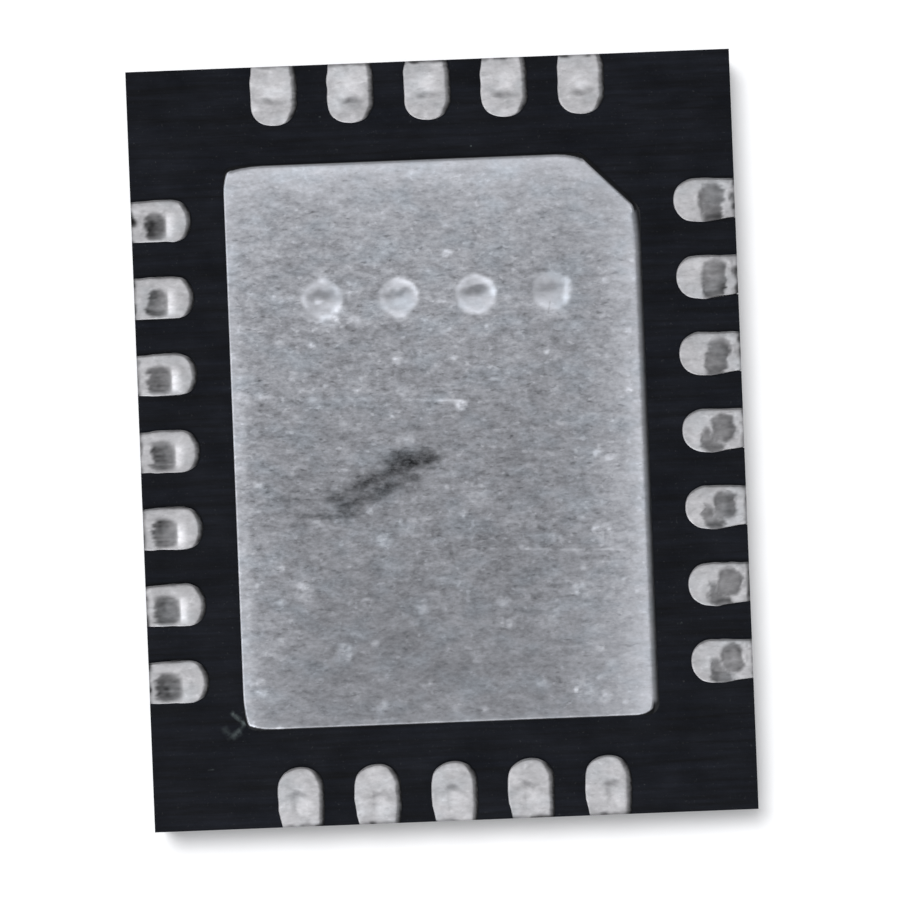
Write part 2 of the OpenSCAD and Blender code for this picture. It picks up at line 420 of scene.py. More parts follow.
def mould_material():
    """Black filled epoxy, with faint lines along X, filler grains and a little residue."""
    mould = Surface("mould_epoxy")
    lines = mould.noise((1.3, 24, 24), detail=5, roughness=0.7)
    cloud = mould.noise((3, 4, 4), detail=5, roughness=0.65)
    grains = mould.noise((55, 55, 55), detail=2)
    sparkle = mould.over(grains, 0.66, 6.0)
    base = mould.blend(mould.over(cloud, 0.3, 2.5), (0.0027, 0.0037, 0.0070, 1), (0.0092, 0.0107, 0.0160, 1))
    base = mould.blend(sparkle, base, (0.030, 0.032, 0.036, 1))
    base = mould.scaled(base, mould.wave(lines, 3.2))
    patchy = mould.over(mould.noise((30, 30, 30), detail=4, roughness=0.6), 0.30, 3.0)
    for start, end, half_width, paleness in RESIDUE:
        mark = mould.math("MULTIPLY", mould.stroke(start, end, half_width), paleness)
        base = mould.blend(mould.math("MULTIPLY", mark, patchy), base, (0.135, 0.165, 0.170, 1))
    mould.set(Base_Color=base, Specular_IOR_Level=0.10)
    mould.set(Roughness=mould.plus(0.42, lines, 0.25))
    mould.bump(mould.math("ADD", grains, lines), 0.0015)
    return mould.material


def plain_surface(name, low, high, metallic, roughness, cells):
    """A slightly cloudy finish for the pieces inside the mould."""
    inner = Surface(name)
    cloud = inner.noise((cells, cells, cells), detail=4)
    inner.set(Base_Color=inner.blend(cloud, low, high), Metallic=metallic)
    inner.set(Roughness=inner.plus(roughness, cloud, 0.2))
    inner.bump(cloud, 0.001)
    return inner.material


# The exposed pad

PAD_W = PAD_HIGH[0] - PAD_LOW[0]
PAD_L = PAD_HIGH[1] - PAD_LOW[1]
HALF_ROOT = math.sqrt(0.5)
# Distances from an edge of the points that lie close to it
EDGE_STEPS = (0.0, 0.002, 0.005, 0.009, 0.014, 0.020, 0.027, 0.035, 0.044, 0.054, 0.066)
GRID_STEP = 0.0135


def stations(length):
    """Distances along a length, close together near both of its ends."""
    inner = np.linspace(EDGE_STEPS[-1], length - EDGE_STEPS[-1], round(length / GRID_STEP))
    ends = np.array(EDGE_STEPS[:-1])
    return np.concatenate([ends, inner, length - ends[::-1]])


def corner_inset(distance):
    """Inset of a round corner's outline at a distance from the end of the pad."""
    t = np.clip(PAD_CORNER_R - distance, 0, PAD_CORNER_R)
    return PAD_CORNER_R - np.sqrt(PAD_CORNER_R ** 2 - t * t)


def cut_corner(y):
    """Place of the pad's right edge at y: its upper right corner is cut off, with round ends to the cut."""
    rise = PAD_REACH - PAD_CORNER_R * (math.sqrt(2) - 1)
    edge = np.minimum(PAD_HIGH[0], PAD_REACH - y)
    lower = (PAD_HIGH[0] - PAD_CORNER_R, rise - PAD_HIGH[0])
    upper = (rise - PAD_HIGH[1], PAD_HIGH[1] - PAD_CORNER_R)
    for (centre_x, centre_y), first, last in ((lower, 0, HALF_ROOT), (upper, HALF_ROOT, 1)):
        climb = (y - centre_y) / PAD_CORNER_R
        arc = centre_x + PAD_CORNER_R * np.sqrt(np.clip(1 - climb * climb, 0, 1))
        edge = np.where((climb > first) & (climb <= last + TINY), arc, edge)
    return edge


# The pad's edges: outward normal, reach from the middle, and the paler border's gains in display level,
# each with the width and the power of its fading
PAD_EDGES = (
    ((-1, 0), -PAD_LOW[0], ((22, 0.085, 4), (26, 0.35, 1))),
    ((1, 0), PAD_HIGH[0], ((54, 0.24, 1), (21, 0.50, 1))),
    ((0, -1), -BARE_LOW[1], ((6, 0.02, 1), (10, 0.30, 1))),
    ((0, 1), BARE_HIGH[1], ((50, 0.16, 1), (33, 1.90, 2))),
    ((HALF_ROOT, HALF_ROOT), BARE_REACH * HALF_ROOT, ((10, 0.15, 1), (8, 0.40, 1))),
)
# How borders that meet add up
BORDER_POWER = 3
PAD_LEVEL = 129.5
# Distance from the edge within which corners blend the softness of the edges that meet there
BLEND_R = 0.06
# The ends of the bare plating's edges draw in towards its corners: length of each, and how far it draws in
LEFT_LOW_END = (0.211, 0.027)
LOW_LEFT_END = (0.159, 0.029)
LOW_RIGHT_END = (0.136, 0.082)
RIGHT_HIGH_END = (0.229, 0.016)
HIGH_RIGHT_END = (0.174, 0.036)
HIGH_LEFT_END = (0.231, 0.030)
LEFT_HIGH_END = (0.143, 0.028)


def drawn_in(corner, outward, inward, end):
    """Points along an edge's end, from its straight part to a corner."""
    length, depth = end
    t = np.linspace(0, 1, 4)[:, None]
    return corner - length * (1 - t) * np.array(outward) - depth * (1 - t * t) * np.array(inward)


def bare_outline():
    """Corners of the bare plating's outline, anticlockwise from the lower end of its left edge."""
    left, low = BARE_LOW[:2]
    right, high = BARE_HIGH[:2]
    up, down, to_left, to_right = (0, 1), (0, -1), (-1, 0), (1, 0)
    low_left = np.array([left + LEFT_LOW_END[1], low + LOW_LEFT_END[1]])
    low_right = np.array([right, low + LOW_RIGHT_END[1]])
    cut_low = np.array([right - RIGHT_HIGH_END[1], BARE_REACH - right + RIGHT_HIGH_END[1]])
    cut_high = np.array([BARE_REACH - high + HIGH_RIGHT_END[1], high - HIGH_RIGHT_END[1]])
    high_left = np.array([left + LEFT_HIGH_END[1], high - HIGH_LEFT_END[1]])
    return np.concatenate([
        drawn_in(low_left, down, to_right, LEFT_LOW_END),
        drawn_in(low_left, to_left, up, LOW_LEFT_END)[-2::-1],
        drawn_in(low_right, to_right, up, LOW_RIGHT_END),
        drawn_in(cut_low, up, to_left, RIGHT_HIGH_END),
        drawn_in(cut_high, to_right, down, HIGH_RIGHT_END)[::-1],
        drawn_in(high_left, to_left, down, HIGH_LEFT_END),
        drawn_in(high_left, up, to_right, LEFT_HIGH_END)[-2::-1],
    ])


def bare_edges():
    """Outward normals and reaches of the edges of the bare plating, each from a corner to the next."""
    corners = bare_outline()
    run = np.roll(corners, -1, 0) - corners
    normals = np.stack([run[:, 1], -run[:, 0]], 1) / np.linalg.norm(run, axis=1, keepdims=True)
    return normals, (normals * corners).sum(1)


def inset_corners(depth):
    """Corners of the bare plating's outline moved inwards."""
    normals, reaches = bare_edges()
    inner = reaches - depth
    pairs = zip(np.roll(normals, 1, 0), normals, np.roll(inner, 1), inner)
    return np.array([np.linalg.solve([n, m], [r, s]) for n, m, r, s in pairs])


def past_inset(x, y, depth):
    """Distance from the outline moved inwards, for points outside it, and the direction from it."""
    corners = inset_corners(depth)
    gap = np.full_like(x, np.inf)
    away_x = np.zeros_like(x)
    away_y = np.zeros_like(x)
    for start, end in zip(corners, np.roll(corners, -1, 0)):
        run = end - start
        along = np.clip(((x - start[0]) * run[0] + (y - start[1]) * run[1]) / (run @ run), 0, 1)
        dx = x - start[0] - along * run[0]
        dy = y - start[1] - along * run[1]
        length = np.hypot(dx, dy)
        nearer = length < gap
        gap = np.where(nearer, length, gap)
        away_x = np.where(nearer, dx / (length + TINY), away_x)
        away_y = np.where(nearer, dy / (length + TINY), away_y)
    return gap, away_x, away_y


def pad_edge_field(x, y):
    """Distance from the bare plating's rounded outline, the softness of the edge nearby, and the gain of the
    painted highlight along its rim.
    """
    normals, reaches = bare_edges()
    away = np.min([reach - nx * x - ny * y for (nx, ny), reach in zip(normals, reaches)], axis=0)
    gap, _, _ = past_inset(x, y, BARE_CORNER_R)
    distance = np.where(away < BARE_CORNER_R, BARE_CORNER_R - gap, away)
    _, away_x, away_y = past_inset(x, y, BLEND_R)
    near = away < BLEND_R
    share = np.where(near, softness(away_x, away_y, PAD_SOFT_FACING, PAD_TOP_SHARE), 0)
    beside = smooth(PAD_SOFT_EDGE[0], 0.5 * PAD_SOFT_EDGE[0], BARE_HIGH[0] - x)
    share = np.maximum(share, beside)
    # Painted highlight along the rim, strongest on the edges that face left
    rim = np.where(near, PAD_LEFT_HIGHLIGHT * smooth(0.1, 0.9, -away_x), 0) + PAD_RIM_HIGHLIGHT
    return distance, share, rim


# Round contact dents in a row
DENT_Y = 0.94
DENT_R = 0.13
# Each dent has its place along the row and its gains: painted highlight on the rim, paler bowl, painted
# highlight on the lower side and painted shade across the upper part
DENTS = (
    (-0.742, 0.40, 0.22, 0.28, 0.40),
    (-0.242, 0.42, 0.36, 0.55, 0.42),
    (0.256, 0.50, 0.44, 0.52, 0.52),
    (0.755, 0.12, 0.28, 0.50, 0.28),
)
# Pale soft strokes, most of them about the dents: start, end, half width and gain
DRAGS = (
    ((-1.06, 0.985), (-0.85, 0.930), 0.050, 0.32),
    ((-0.75, 0.815), (-0.71, 0.800), 0.070, 0.38),
    ((-0.66, 0.890), (-0.42, 0.760), 0.045, 0.30),
    ((0.847, 0.995), (0.842, 0.870), 0.028, 0.55),
    ((0.69, 0.850), (0.78, 0.810), 0.060, 0.34),
    ((-1.30, 0.345), (-1.17, 0.335), 0.050, 0.28),
    ((-1.17, 0.325), (-0.45, 0.285), 0.018, 0.16),
)
# Thin scratches: start, end, half width and gain
SCRATCHES = (
    ((-0.425, 0.281), (0.258, 0.254), 0.013, 0.50),
    ((-0.105, -0.701), (1.260, -0.755), 0.013, 0.42),
    ((0.742, 0.890), (0.722, 0.796), 0.009, -0.90),
)
# The dark smudge, as strokes: start, end, half width and darkness
SMUDGE = (
    ((-0.250, -0.122), (-0.125, -0.118), 0.098, 0.78),
    ((-0.52, -0.252), (-0.22, -0.150), 0.062, 0.52),
    ((-0.75, -0.360), (-0.50, -0.245), 0.045, 0.30),
    ((-0.63, -0.400), (-0.36, -0.308), 0.052, 0.54),
    ((-0.40, -0.320), (-0.20, -0.232), 0.048, 0.36),
    ((-0.60, -0.330), (-0.25, -0.185), 0.135, 0.27),
    ((-1.02, -0.355), (-0.70, -0.365), 0.038, 0.34),
    ((-0.92, -0.456), (-0.58, -0.467), 0.032, 0.44),
)
# Pale flecks: place, radius and gain in tone
FLECKS = (
    ((0.134, 0.224), 0.032, 0.50), ((1.03, -0.633), 0.066, 0.50), ((-0.68, -1.35), 0.060, 0.60),
    ((-0.452, -1.708), 0.044, 0.60), ((0.183, -1.400), 0.046, 0.50), ((0.85, -0.98), 0.040, 0.50),
    ((0.20, -0.36), 0.100, 0.25), ((-0.20, -0.55), 0.070, 0.25), ((-0.92, -0.95), 0.060, 0.40),
    ((0.87, -1.64), 0.080, 0.35), ((-0.40, -0.62), 0.050, 0.45), ((1.00, -1.71), 0.045, 0.40),
    ((0.36, -1.05), 0.042, 0.50), ((-0.17, -1.08), 0.040, 0.45), ((0.69, -1.17), 0.110, 0.20),
    ((0.51, -0.70), 0.040, 0.40), ((0.72, -0.67), 0.044, 0.40), ((0.98, -1.38), 0.030, 0.45),
)
LOOSE_FLECKS = 130


def streak_mask(x, y, start, end, half_width):
    """Mask of a soft stroke between two points."""
    run = np.array(end) - np.array(start)
    length = math.hypot(*run)
    along = ((x - start[0]) * run[0] + (y - start[1]) * run[1]) / length
    across = ((y - start[1]) * run[0] - (x - start[0]) * run[1]) / length
    past = np.maximum(np.maximum(-along, along - length), 0)
    distance = np.hypot(past * 0.6, across)
    ragged = 1 + 0.4 * noise(x, y, 0.08, 0.025, 31)
    return smooth(1.2, 0.0, distance / (half_width * ragged))


def pad_stain(x, y):
    """Darkness of the smudge."""
    stain = np.zeros_like(x)
    for start, end, half_width, depth in SMUDGE:
        stain = 1 - (1 - stain) * (1 - depth * streak_mask(x, y, start, end, half_width))
    return stain


def border_level(x, y):
    """Display level of the pad's plating, with its paler borders and slow clouds."""
    total = np.zeros_like(x)
    for (nx, ny), reach, borders in PAD_EDGES:
        away = np.maximum(reach - nx * x - ny * y, 0)
        border = sum(gain * np.exp(-(away / width) ** power) for gain, width, power in borders)
        total = total + border ** BORDER_POWER
    level = PAD_LEVEL + total ** (1 / BORDER_POWER)
    return level + 4 * noise(x, y, 0.40, 0.25, 7) + 3 * noise(x, y, 0.12, 0.08, 8)


def fleck_tone(x, y):
    """Factor in tone of the pale flecks."""
    tone = np.ones_like(x)
    broken = smooth(-0.9, 0.2, noise(x, y, 0.026, 0.022, 9))
    for place, radius, gain in FLECKS:
        tone = tone * (1 + gain * broken * spot(x, y, place, (radius, radius), soft=0.5))
    rng = np.random.default_rng(5)
    for _ in range(LOOSE_FLECKS):
        place = (rng.uniform(-1.25, 1.25), rng.uniform(-1.75, 1.3) - 0.4 * rng.random())
        radius = rng.uniform(0.010, 0.030)
        gain = rng.uniform(0.15, 0.65)
        tone = tone * (1 + gain * (0.3 + 0.8 * broken) * spot(x, y, place, (radius * 1.3, radius), soft=0.6))
    return tone


def dent_reach(x, y, dent_x):
    """Distance from the middle of a dent, where 1 is its slightly wavy rim."""
    wavy = 1 + 0.04 * noise(x, y, 0.13, 0.11, 23) + 0.04 * noise(x, y, 0.025, 0.02, 24)
    return np.hypot(x - dent_x, y - DENT_Y) / (DENT_R * wavy)


def dent_tone(x, y, dent_x, rim_highlight_gain, bowl_gain, lit_side_gain, upper_shade_gain):
    """Factor in tone of a dent: painted highlight on its rim, stronger towards the lower right, a paler
    bowl, painted highlight on its lower side and a band of painted shade above its middle.
    """
    reach = dent_reach(x, y, dent_x)
    broken_highlight = smooth(-0.7, 0.6, noise(x, y, 0.08, 0.06, 27)) + 0.3 * noise(x, y, 0.03, 0.02, 28)
    # Painted highlight on the rim, brighter towards the lower right, and on the lower side; painted shade in
    # a band above the middle
    lit = smooth(-0.9, 0.8, (0.85 * (x - dent_x) - 0.53 * (y - DENT_Y)) / DENT_R)
    rim = np.exp(-((reach - 0.90) / 0.18) ** 2) * broken_highlight * (0.8 + 1.2 * lit)
    ragged = y + 0.016 * noise(x, y, 0.04, 0.03, 29)
    smear_and_shade = spot(x, ragged, (dent_x, DENT_Y + 0.034), (0.082, 0.027), turn=10, soft=0.6)
    low = smooth(1.0, 0.75, reach) * smooth(DENT_Y + 0.02, DENT_Y - 0.06, y)
    gain = rim_highlight_gain * rim + bowl_gain * smooth(1.08, 0.9, reach) + lit_side_gain * low
    return (1 + gain) * (1 - upper_shade_gain * smear_and_shade)


def pad_tone(x, y, distance, share, rim):
    """Tone of the pad's plating with its marks, the dents' painted highlights and shade, the edges' painted
    rim highlights and shade, and of the film of mould past the bare outline.
    """
    tone = linear(border_level(x, y)) * fleck_tone(x, y)
    for dent in DENTS:
        tone = tone * dent_tone(x, y, *dent)
    for start, end, half_width, gain in DRAGS:
        tone = tone * (1 + gain * streak_mask(x, y, start, end, half_width))
    film = smooth(FILM_BLEND, -FILM_BLEND, distance)
    return tone * edge_tone(distance, share, PAD_SOFT_EDGE, rim) * (1 - film) + FILM_TONE * film


def pad_grain(x, y, distance):
    """How strong the grain is: weak in the dents, towards the lower end and near the pale borders."""
    grain = 1 - 0.45 * np.exp(-(PAD_HIGH[0] - x) / 0.30) - 0.55 * np.exp(-(PAD_HIGH[1] - y) / 0.35)
    grain = grain * (1 - 0.4 * np.exp(-np.maximum(distance, 0) / 0.05))
    grain = grain * (1 - 0.25 * smooth(-0.6, -1.6, y))
    for dent_x, *_ in DENTS:
        grain = grain * (1 - 0.7 * smooth(1.2, 0.9, dent_reach(x, y, dent_x)))
    return np.maximum(grain, 0.2)


def pad_relief(x, y):
    """Height of the pad's plating over its plane: slow waves, contact dents and raised flecks."""
    height = 0.0006 * noise(x, y, 0.5, 0.22, 11) + 0.0003 * noise(x, y, 0.12, 0.04, 12)
    for dent_x, *_ in DENTS:
        reach = dent_reach(x, y, dent_x)
        height = height - 0.007 * smooth(1.0, 0.25, reach) + 0.0015 * np.exp(-((reach - 1.08) / 0.12) ** 2)
    for place, radius, gain in FLECKS:
        height = height + 0.004 * gain * spot(x, y, place, (radius, radius), soft=0.6)
    return np.minimum(height, RELIEF_ROOM)


def pad_grid():
    """Points over the pad, row by row from its lower end, as two arrays."""
    rise = stations(PAD_L)
    share = stations(PAD_W) / PAD_W
    y = PAD_LOW[1] + rise
    low = PAD_LOW[0] + corner_inset(rise) + corner_inset(PAD_L - rise)
    high = np.minimum(PAD_HIGH[0] - corner_inset(rise), cut_corner(y))
    x = low[:, None] + (high - low)[:, None] * share[None, :]
    return x, np.broadcast_to(y[:, None], x.shape)


def outline_offset(loop, distance):
    """A closed anticlockwise outline moved outwards."""
    ahead = np.roll(loop, -1, 0) - np.roll(loop, 1, 0)
    normal = np.stack([ahead[:, 1], -ahead[:, 0]], 1)
    normal /= np.linalg.norm(normal, axis=1, keepdims=True)
    return loop + normal * distance


def tie_bar_outline(signs):
    """Anticlockwise outline of the tie bar that runs to one corner of the package."""
    corner = signs * BODY_HIGH[:2]
    inner = signs * PAD_HIGH[:2]
    run = corner - inner
    run /= math.hypot(*run)
    side = np.array([-run[1], run[0]]) * TIE_BAR_W / 2
    points = [inner + side, inner - side]
    for edge in (corner - side, corner + side):
        outside = np.maximum((np.abs(edge) - np.abs(corner)) / np.abs(run), 0).max()
        points.append(edge - run * outside)
    points.insert(3, corner)
    return np.array(points)


def tie_bar_mesh(outline, start):
    """Points and faces of a tie bar whose points are numbered from start."""
    sides = len(outline)
    points = np.concatenate([at_height(outline, FRAME_Z), at_height(outline, LIP_Z)])
    lower = range(start, start + sides)
    upper = range(start + sides, start + 2 * sides)
    faces = [tuple(reversed(lower)), tuple(upper)]
    for k in range(sides):
        n = (k + 1) % sides
        faces.append((lower[k], lower[n], upper[n], upper[k]))
    return points, faces


def pad_height(x, y, distance, share):
    """Height of the pad's plated face, with its edges and its relief."""
    ragged = 0.004 * noise(x, y, 0.012, 0.010, 17) * share
    drop = edge_drop(distance + ragged, share, PAD_SOFT_EDGE) + FILM_SLOPE * np.maximum(-distance, 0)
    drop = np.minimum(drop, PLATE_Z - MOULD_Z - FILM_T)
    return PLATE_Z - drop + pad_relief(x, y) * smooth(0, 0.05, distance)


def pad_skin(x, y, z):
    """Points and faces of the pad's closed skin: its face, walls, undercut rim and inner side."""
    rows, columns = x.shape
    points = np.stack([x, y, z], 2).reshape(-1, 3)
    faces = grid_faces(rows, columns)
    index = np.arange(rows * columns).reshape(rows, columns)
    upper = np.concatenate([index[0, :-1], index[:-1, -1], index[-1, :0:-1], index[:0:-1, 0]])
    loop = points[upper, :2]
    lip = outline_offset(loop, PAD_LIP)
    count = len(loop)
    for outline, height in ((loop, LIP_Z), (lip, LIP_Z), (lip, FRAME_Z)):
        below = len(points) + np.arange(count)
        points = np.concatenate([points, at_height(outline, height)])
        for k in range(count):
            n = (k + 1) % count
            faces.append((upper[n], upper[k], below[k], below[n]))
        upper = below
    faces.append(tuple(reversed(upper)))
    return points, faces


def make_pad(tin, copper):
    """The exposed pad with its undercut rim and tie bars, as one closed skin and four bars."""
    x, y = pad_grid()
    distance, share, rim = pad_edge_field(x, y)
    points, faces = pad_skin(x, y, pad_height(x, y, distance, share))
    skin_faces = len(faces)
    for signs in ((1, 1), (-1, 1), (-1, -1), (1, -1)):
        bar_points, bar_faces = tie_bar_mesh(tie_bar_outline(signs), len(points))
        points = np.concatenate([points, bar_points])
        faces += bar_faces
    face_materials = [0] * skin_faces + [1] * (len(faces) - skin_faces)
    faces = [tuple(int(k) for k in face) for face in faces]
    top = x.size
    tone = np.full(len(points), SIDE_TONE)
    tone[:top] = pad_tone(x, y, distance, share, rim).ravel()
    stain = np.zeros(len(points))
    stain[:top] = pad_stain(x, y).ravel()
    grain = np.ones(len(points))
    grain[:top] = pad_grain(x, y, distance).ravel()
    rough = np.full(len(points), PAD_ROUGH)
    attributes = {"tone": tone, "stain": stain, "grain": grain, "rough": rough}
    piece = make_piece("tinned_pad", points, faces, [tin, copper], face_materials, attributes)
    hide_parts("die_paddle")


# The leads

# The way into the package from each side
SIDES = {
    "right": np.array([-1.0, 0.0]),
    "bottom": np.array([0.0, 1.0]),
    "left": np.array([1.0, 0.0]),
    "top": np.array([0.0, -1.0]),
}
# Width at the saw cut as a share of the full width, on the negative and on the positive side
NECKS = {"right": (0.95, 0.84), "bottom": (0.93, 0.85), "left": (0.98, 0.94), "top": (0.92, 0.90)}
# Length of the narrowing as a share of the land's length
NECK_LENGTH = {"right": 0.5, "bottom": 0.28, "left": 0.3, "top": 0.2}
# Length of a land as a share of its length in the frame
REACH = {"right": 1.04, "bottom": 1.015, "left": 1.02, "top": 1.005}
# Width of a land as a share of its width in the frame, on the negative and on the positive side
FULLNESS = {"right": (1.0, 1.0), "bottom": (1.05, 1.11), "left": (0.99, 0.97), "top": (1.13, 1.04)}
# Share by which the positive side bulges at the middle of a land
BULGES = {"right": 0.03, "bottom": 0.01, "left": 0.0, "top": 0.0}
# How far the sawn ends lie behind the side of the mould
CUT_DEPTH = 0.002
SIDE_STEPS = 34
TIP_STEPS = 44
# Bluntness of the tips on the negative and on the positive side, where 2 is round
TIP_POWER = {"right": (2.1, 2.1), "bottom": (2.0, 2.1), "left": (2.4, 2.1), "top": (2.4, 2.0)}
RING_STEPS = (*EDGE_STEPS, 0.080, 0.095, 0.110, 0.125)


def lead_side(low, high):
    """The side of the package that a land reaches."""
    right, top, _ = BODY_HIGH - high
    left, bottom, _ = low - BODY_LOW
    gaps = {"right": right, "bottom": bottom, "left": left, "top": top}
    return min(gaps, key=gaps.get)


def lead_path(half, length, powers):
    """Points along a land's U-shaped outline, from cut to cut, and how each moves as the land grows."""
    straight = np.linspace(CUT_DEPTH, length - half, SIDE_STEPS)
    turn = np.radians(np.linspace(-90, 90, TIP_STEPS))[1:-1]
    power = np.where(turn < 0, *powers)
    blunt = (np.abs(np.cos(turn)) ** power + np.abs(np.sin(turn)) ** power) ** (-1 / power)
    flat = np.zeros(SIDE_STEPS)
    grow_u = np.concatenate([flat, blunt * np.cos(turn), flat])
    grow_v = np.concatenate([flat - 1, blunt * np.sin(turn), flat + 1])
    keel = np.concatenate([straight, np.full(len(turn), length - half), straight[::-1]])
    return keel + half * grow_u, half * grow_v, grow_u, grow_v


def necked(u, v, side, half, length):
    """A land's width at a distance u from the saw cut: widest near its middle, and narrower at the cut."""
    near_cut = np.clip(1 - u / (NECK_LENGTH[side] * length), 0, 1)
    scale = 1 - (1 - np.where(v < 0, *NECKS[side])) * near_cut
    bulge = BULGES[side] * np.exp(-((u / length - 0.5) / 0.18) ** 2)
    scale = scale * np.where(v > 0, 1 + bulge, 1.0)
    return v * scale * np.where(v < 0, *FULLNESS[side])


# The lowest and the highest lead of the left row, and the strength of the painted highlight on each land's
# ridge, upwards
LEFT_ROW = (13, 19)
RIDGE_HIGHLIGHTS = (0.14, 0.90, 0.84, 0.46, 0.96, 0.74, 0.68)


def left_marks_and_shading(u, v, number, rng):
    """Contact mark of the left row: a flattened patch with a ragged outer side, darkened with painted shade,
    then a ridge with a painted highlight.
    """
    seed = rng.integers(1000)
    start = 0.12 + 0.018 * (number - LEFT_ROW[0]) + rng.uniform(-0.01, 0.01)
    end = 0.55 + rng.uniform(-0.02, 0.02)
    top = rng.uniform(0.36, 0.50)
    teeth = 0.06 * noise(u, v, 0.4, 0.16, seed) + 0.04 * noise(u, v, 0.12, 0.06, seed + 1)
    centre = (start + end) / 2
    ragged = u + teeth * smooth(centre, start, u)
    height = (top + 0.88) / 2
    patch = spot(ragged, v, (centre, top - height), ((end - start) / 2, height), soft=0.22, power=3.5)
    streaks = noise(u, v, 0.35, 0.06, seed + 2) + 0.6 * noise(u, v, 0.07, 0.10, seed + 3)
    body = 0.74 - 0.22 * smooth(start + 0.1, end, u) + 0.10 * streaks
    ridge = smooth(end - 0.005, end + 0.045, u) * smooth(end + 0.22, end + 0.05, u)
    ridge = ridge * spot(u, v, (end, rng.uniform(-0.32, -0.18)), (1, 0.52), soft=0.45)
    # The patch's darkness is painted shade, and the ridge's brightness a painted highlight
    tone = -body * patch + RIDGE_HIGHLIGHTS[number - LEFT_ROW[0]] * ridge
    if number == LEFT_ROW[1]:
        tone = tone - 0.75 * spot(u, v, (0.03, -0.05), (0.07, 0.22), soft=0.5)
    return tone, -0.004 * patch + 0.0015 * ridge


# How many leads of the right row have one broad mark, and a dark spot at the saw cut
BROAD_MARKS = 3
CUT_SPOTS = 2


def right_marks_and_shading(u, v, number, rng):
    """Contact marks of the right row, darkened with painted shade: one broad patch on the first few, and two
    that meet on the others, with a painted highlight towards the tip.
    """
    seed = rng.integers(1000)
    shift = rng.uniform(-0.015, 0.015)
    warp = 0.035 * noise(u, v, 0.16, 0.28, seed) + 0.022 * noise(u, v, 0.05, 0.09, seed + 4)
    texture = 0.10 * noise(u, v, 0.10, 0.20, seed + 1) + 0.07 * noise(u, v, 0.20, 0.06, seed + 2)
    if number <= BROAD_MARKS:
        slant = 0.025 * (number - 1) * v
        teeth = 0.03 * noise(u, v, 0.4, 0.09, seed + 3) * smooth(0.35, 0.20, u)
        size = (0.19, 0.96)
        dark = spot(u + warp + teeth - slant, v, (0.375, 0.18), size, soft=0.20, power=4.5 - 0.7 * number)
        inner = spot(u, v, (0.44, 0.10), (0.16, 0.55), soft=0.6)
    else:
        place = (0.33 + shift, -0.10)
        first = spot(u + warp, v + 2 * warp, place, (0.195, 0.65), soft=0.18, power=2.8)
        around = spot(u + warp, v + 2 * warp, place, (0.215, 0.73), soft=0.08, power=2.8)
        inner = spot(u, v, (place[0] + 0.04, place[1] + 0.16), (0.15, 0.50), soft=0.6)
        taper = 0.55 + 0.45 * smooth(-0.2, 0.7, v)
        lean = (u - 1.4 * warp - shift - 0.53 + 0.10 * (v - 0.5)) / taper
        second = spot(lean, v, (0, 0.50), (0.185, 0.62), soft=0.28, power=2.6)
        seam = around * (1 - first) * smooth(0.30, 0.42, u)
        dark = np.maximum(first, second) * (1 - 0.45 * seam)
    darker = 0.08 * smooth(0.42, 0.24, u) * smooth(-0.4, 0.4, v)
    pale = spot(u, v, (0.74, 0.10), (0.10, 0.50), turn=-6, soft=0.6)
    # The patches' darkness is painted shade, and the pale spot towards the tip a painted highlight
    tone = -(0.66 + texture + darker - 0.12 * inner) * dark + 0.05 * pale
    tone = tone - 0.22 * smooth(0.1, 0.6, noise(u, v, 0.05, 0.16, seed + 5)) * smooth(0.20, 0.08, u)
    if number <= CUT_SPOTS:
        tone = tone - 0.55 * spot(u, v, (0.05, 0.05 - 0.15 * number), (0.06, 0.20), soft=0.5)
    return tone, -0.004 * dark


def top_marks_and_shading(u, v, number, rng):
    """Contact mark of the top row: a painted highlight, then a faint band of painted shade across towards
    the tip.
    """
    seed = rng.integers(1000)
    place = 0.60 + rng.uniform(-0.02, 0.02)
    lean = rng.uniform(-0.15, 0.10)
    warp = 0.04 * noise(u, v, 0.3, 0.4, seed)
    smear_and_shade = spot(u + warp, v, (place, lean), (0.058, 0.58), turn=rng.uniform(-3, 3), soft=0.7)
    knot = spot(u + warp, v, (place + 0.02, lean - 0.25), (0.045, 0.20), soft=0.6)
    below = spot(u + warp, v, (place + 0.16, 0.05), (0.12, 0.45), soft=0.8)
    pale = spot(u, v, (place - 0.21, 0.0), (0.15, 0.62), soft=0.8)
    # The dark band and its knot are painted shade, and the pale area towards the saw cut a painted highlight
    return -0.28 * smear_and_shade - 0.20 * knot - 0.12 * below + 0.20 * pale, -0.002 * smear_and_shade + 0.001 * pale


def bottom_marks_and_shading(u, v, number, rng):
    """Contact mark of the bottom row: a small arc of painted shade with painted highlights between it and
    the saw cut.
    """
    seed = rng.integers(1000)
    place = 0.55 + rng.uniform(-0.04, 0.03)
    lean = rng.uniform(-0.20, 0.25)
    warp = 0.04 * noise(u, v, 0.2, 0.3, seed)
    arc = spot(u + warp + 0.14 * (v - lean) ** 2, v, (place, lean), (0.050, 0.46), soft=0.8)
    stem = spot(u, v, (place - 0.18, lean + 0.22), (0.18, 0.10), turn=-6, soft=0.8)
    pale = spot(u, v, (place - 0.20, lean - 0.30), (0.17, 0.36), soft=0.7)
    other = spot(u, v, (place - 0.24, lean + 0.62), (0.13, 0.26), soft=0.7)
    # The arc is painted shade, and the pale areas towards the saw cut painted highlights
    tone = -0.33 * arc - 0.15 * stem + 0.16 * pale + 0.10 * other
    return tone, -0.002 * arc + 0.001 * pale


MARKS_AND_SHADING = {"right": right_marks_and_shading, "bottom": bottom_marks_and_shading, "left": left_marks_and_shading, "top": top_marks_and_shading}
LAND_LEVEL = {"right": 182, "bottom": 181, "left": 179, "top": 189}


